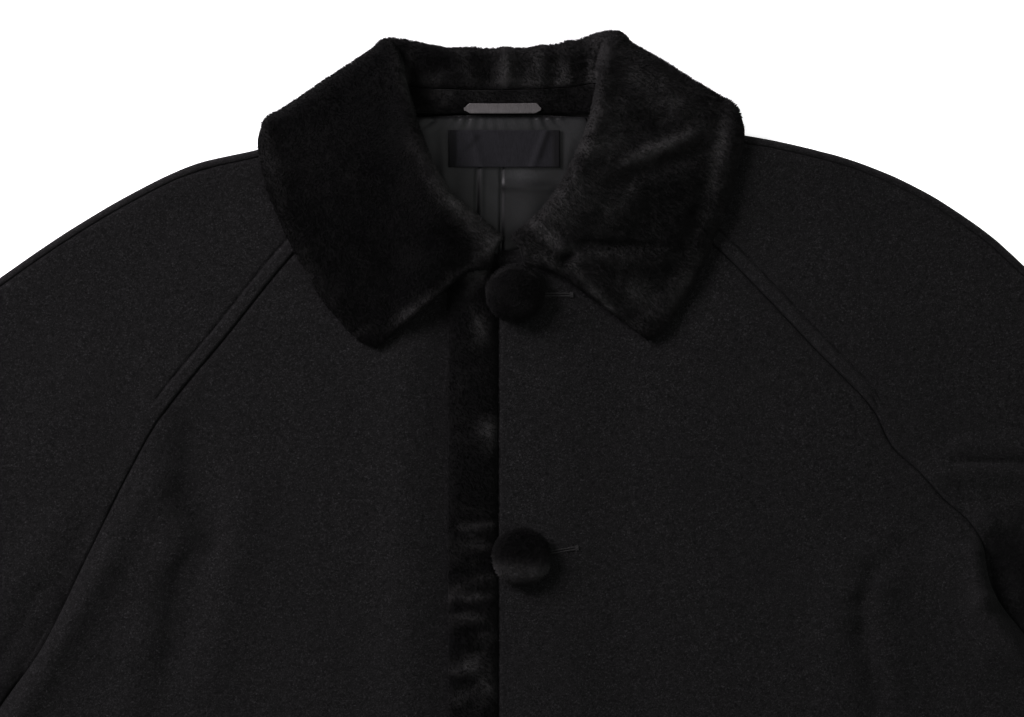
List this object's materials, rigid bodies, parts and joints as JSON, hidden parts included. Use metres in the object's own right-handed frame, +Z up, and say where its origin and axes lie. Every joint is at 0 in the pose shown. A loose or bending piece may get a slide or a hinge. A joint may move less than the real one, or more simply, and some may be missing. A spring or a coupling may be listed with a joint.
{
  "type": "wool coat laid flat",
  "caption": "Wool coat lying flat on its back, buttoned, with raglan sleeves, a large plush collar and a plush band down the front.",
  "frame": {"origin": "middle of the bounding box's base, on the surface the coat lies on", "axes": "+X to the wearer's left across both sleeves, +Y from hem to collar, +Z up out of the coat's front"},
  "size_m": [1.339, 1.0236, 0.041],
  "materials": {
    "wool": "matte felted melton with a short nap",
    "plush": "dense short pile that lies in patches",
    "lining": "black satin",
    "tape": "grey satin tape",
    "label": "black woven label, bare"
  },
  "bodies": {
    "root": {"back": "wool", "front_right": "wool", "front_left": "wool", "front_band": "plush", "sleeve_front_right": "wool", "sleeve_back_right": "wool", "sleeve_front_left": "wool", "sleeve_back_left": "wool", "collar_fall": "plush", "collar_stand": "plush", "back_lining": "lining", "neck_label": "label", "hanger_loop": "tape", "button_1": "plush", "button_2": "plush", "button_3": "plush", "button_4": "plush"}
  },
  "joints": []
}
